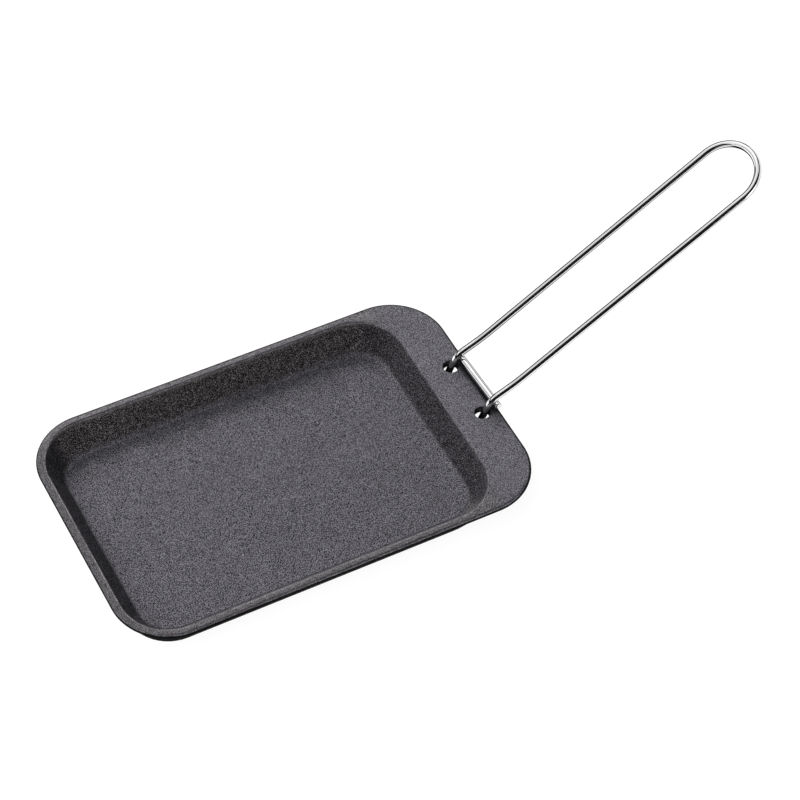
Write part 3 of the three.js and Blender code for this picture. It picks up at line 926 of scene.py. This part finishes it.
def bright_wire():
    """Bright stainless wire, with a faint unevenness in its polish, and painted shade where it enters the
    holes:
    a darker neck in place of the shaded flange that it reflects there.
    """
    made, nodes, links = new_material("stainless_wire")
    tree = made.node_tree
    shader = nodes["Principled BSDF"]
    shader.inputs["Metallic"].default_value = 1.0
    place = nodes.new("ShaderNodeTexCoord").outputs["Object"]
    polish = noise_node(tree, place, POLISH_RATE, POLISH_DETAIL)
    tone = mix_colour(tree, polish, WIRE_DULL, WIRE_BRIGHT)
    tone = mix_colour(tree, attribute_share(nodes, "neck_painted_shade"), tone, WIRE_PAINTED_SHADE)
    links.new(tone, shader.inputs["Base Color"])
    rough = math_node(tree, "MULTIPLY_ADD", polish, POLISH_UNEVENNESS, WIRE_ROUGHNESS)
    links.new(rough, shader.inputs["Roughness"])
    return made


# Stage

def seen_directly(tree):
    """1 for rays from the camera, from mirrors and through glass, and 0 for light that bounces."""
    path = tree.nodes.new("ShaderNodeLightPath")
    glossy = math_node(tree, "MAXIMUM", path.outputs["Is Camera Ray"], path.outputs["Is Glossy Ray"])
    return math_node(tree, "MAXIMUM", glossy, path.outputs["Is Transmission Ray"])


def make_floor():
    """A pale floor: white to the camera and in reflections, with a share that the lamps light."""
    corners = [(-1, -1), (1, -1), (1, 1), (-1, 1)]
    points = np.array([[x * FLOOR_HALF, y * FLOOR_HALF, -FLOOR_BELOW] for x, y in corners])
    floor = mesh_object("studio_floor", points, [[0, 1, 2, 3]])
    made, nodes, links = new_material("pale_floor")
    nodes.remove(nodes["Principled BSDF"])
    shade = nodes.new("ShaderNodeBsdfDiffuse")
    shade.inputs["Color"].default_value = (FLOOR_SHADE, FLOOR_SHADE, FLOOR_SHADE, 1)
    glow = nodes.new("ShaderNodeEmission")
    glow.inputs["Strength"].default_value = FLOOR_GLOW
    bounce = nodes.new("ShaderNodeBsdfDiffuse")
    bounce.inputs["Color"].default_value = (FLOOR_BOUNCE, FLOOR_BOUNCE, FLOOR_BOUNCE, 1)
    seen = nodes.new("ShaderNodeAddShader")
    links.new(shade.outputs[0], seen.inputs[0])
    links.new(glow.outputs[0], seen.inputs[1])
    choose = nodes.new("ShaderNodeMixShader")
    links.new(seen_directly(made.node_tree), choose.inputs[0])
    links.new(bounce.outputs[0], choose.inputs[1])
    links.new(seen.outputs[0], choose.inputs[2])
    links.new(choose.outputs[0], nodes["Material Output"].inputs["Surface"])
    floor.data.materials.append(made)


def make_world():
    """A white surround for the camera, and a dim one for reflections and soft light."""
    world = bpy.data.worlds.new("studio")
    bpy.context.scene.world = world
    world.use_nodes = True
    tree = world.node_tree
    path = tree.nodes.new("ShaderNodeLightPath")
    seen = math_node(tree, "MAXIMUM", path.outputs["Is Camera Ray"], path.outputs["Is Transmission Ray"])
    strength = math_node(tree, "MULTIPLY_ADD", seen, 1.0 - AMBIENT, AMBIENT)
    background = tree.nodes["Background"]
    background.inputs["Color"].default_value = (1, 1, 1, 1)
    tree.links.new(strength, background.inputs["Strength"])


def make_softbox(name, place, size, watts):
    """A plain soft lamp that faces the pan, and that neither the camera nor a reflection shows."""
    lamp = bpy.data.lights.new(name, "AREA")
    lamp.shape = "RECTANGLE"
    lamp.size, lamp.size_y = size
    lamp.energy = watts
    softbox = bpy.data.objects.new(name, lamp)
    softbox.location = place
    softbox.rotation_euler = (Vector(LAMP_TARGET) - Vector(place)).to_track_quat("-Z", "Y").to_euler()
    softbox.visible_camera = False
    softbox.visible_glossy = False
    bpy.context.scene.collection.objects.link(softbox)


def make_card(name, glow, corners):
    """A flat card that only reflections see: black at a glow of 0 and white at 1."""
    card = mesh_object(name, np.array(corners), [[0, 1, 2, 3]])
    made, nodes, _ = new_material(name)
    shader = nodes["Principled BSDF"]
    shader.inputs["Base Color"].default_value = CARD_BLACK
    shader.inputs["Specular IOR Level"].default_value = 0.0
    shader.inputs["Roughness"].default_value = 1.0
    shader.inputs["Emission Color"].default_value = (1, 1, 1, 1)
    shader.inputs["Emission Strength"].default_value = glow
    card.data.materials.append(made)
    for ray in ("camera", "diffuse", "transmission", "volume_scatter", "shadow"):
        setattr(card, f"visible_{ray}", False)


def make_contact_shade():
    """The dark line where the pan meets the floor: a black sheet under it, a little wider than its base."""
    turn = np.linspace(0.0, 90.0, CONTACT_STEPS)
    half = np.array([BODY_END, HALF_WIDTH]) - CONTACT_INSET - CONTACT_RADIUS
    points = []
    for x, y, start in [(1, 1, 0), (-1, 1, 90), (-1, -1, 180), (1, -1, 270)]:
        middle = np.array([x * half[0], y * half[1], SHEET_LEVEL])
        spokes = np.stack([cos(start + turn), sin(start + turn), 0.0 * turn], axis=-1)
        points.append(middle + CONTACT_RADIUS * spokes)
    points = np.concatenate(points)
    shade = mesh_object("contact_shade", points, [list(range(len(points)))])
    made, nodes, _ = new_material("contact_shade")
    nodes["Principled BSDF"].inputs["Base Color"].default_value = CONTACT_BLACK
    nodes["Principled BSDF"].inputs["Specular IOR Level"].default_value = 0.0
    shade.data.materials.append(made)


def make_camera():
    lens = bpy.data.cameras.new("camera")
    lens.sensor_width = CAMERA_SENSOR
    lens.lens = CAMERA_LENS
    camera = bpy.data.objects.new("camera", lens)
    turn = Matrix((CAMERA_RIGHT, CAMERA_UP, CAMERA_BACK)).transposed().to_4x4()
    camera.matrix_world = Matrix.Translation(CAMERA_PLACE) @ turn
    bpy.context.scene.collection.objects.link(camera)
    bpy.context.scene.camera = camera


make_camera()
make_world()
make_floor()
for lamp in LAMPS:
    make_softbox(*lamp)
for card in CARDS:
    make_card(*card)
make_contact_shade()
make_card("pan_shade", 0.0, PAN_SHADE)

iron = cast_iron()
steel = bright_wire()

pan = make_pan()
pan.data.materials.clear()
pan.data.materials.append(iron)
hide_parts("pan")
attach(pan, "pan")

wire = make_handle_wire()
wire.data.materials.append(steel)
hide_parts("handle_wire")
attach(wire, "handle")

bar = make_crossbar()
bar.data.materials.append(steel)
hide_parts("handle_crossbar")
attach(bar, "handle")

bpy.context.scene.view_settings.view_transform = "Standard"
